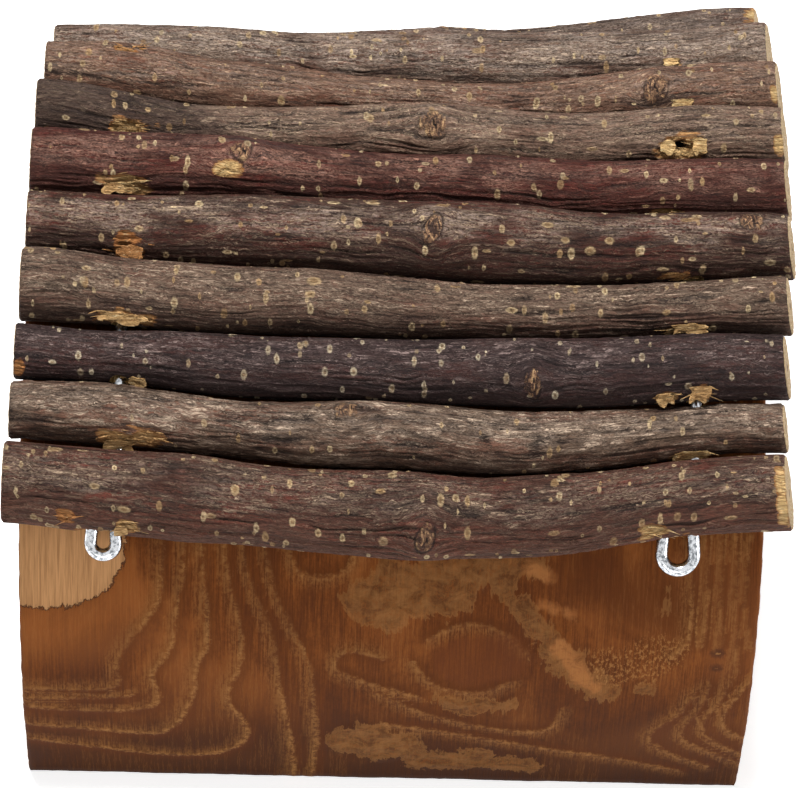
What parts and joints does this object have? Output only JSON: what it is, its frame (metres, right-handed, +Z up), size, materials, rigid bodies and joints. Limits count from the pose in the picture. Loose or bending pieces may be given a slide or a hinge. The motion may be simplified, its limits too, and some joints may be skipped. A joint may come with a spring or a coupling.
{
  "type": "small pet hideout tunnel",
  "caption": "Half-round wooden tunnel hideout for a small pet, its crown covered by a mat of bark-on branches strung on steel wire.",
  "frame": {"origin": "on the floor, below the middle of the whole hideout", "axes": "+X along the tunnel, towards its right opening; +Y across it, towards its back; +Z up"},
  "size_m": [0.2041, 0.2019, 0.1304],
  "materials": {
    "bent_board": "sanded, oiled, with wavy grain",
    "bark_red_brown": "dry bark with fine wrinkles and pale pores",
    "bark_grey_brown": "dry bark with fine wrinkles and pale pores",
    "bark_grey_tan": "dry rough bark",
    "bark_dark": "dry dark bark with small pale pores",
    "galvanised_wire": "bright zinc"
  },
  "bodies": {
    "root": {"arched_shell": "bent_board", "branch_01": "bark_red_brown", "branch_02": "bark_grey_tan", "branch_03": "bark_dark", "branch_04": "bark_grey_brown", "branch_05": "bark_grey_brown", "branch_06": "bark_red_brown", "branch_07": "bark_grey_brown", "branch_08": "bark_red_brown", "branch_09": "bark_grey_tan", "branch_10": "bark_grey_tan", "wire_left": "galvanised_wire", "wire_right": "galvanised_wire"}
  },
  "joints": []
}
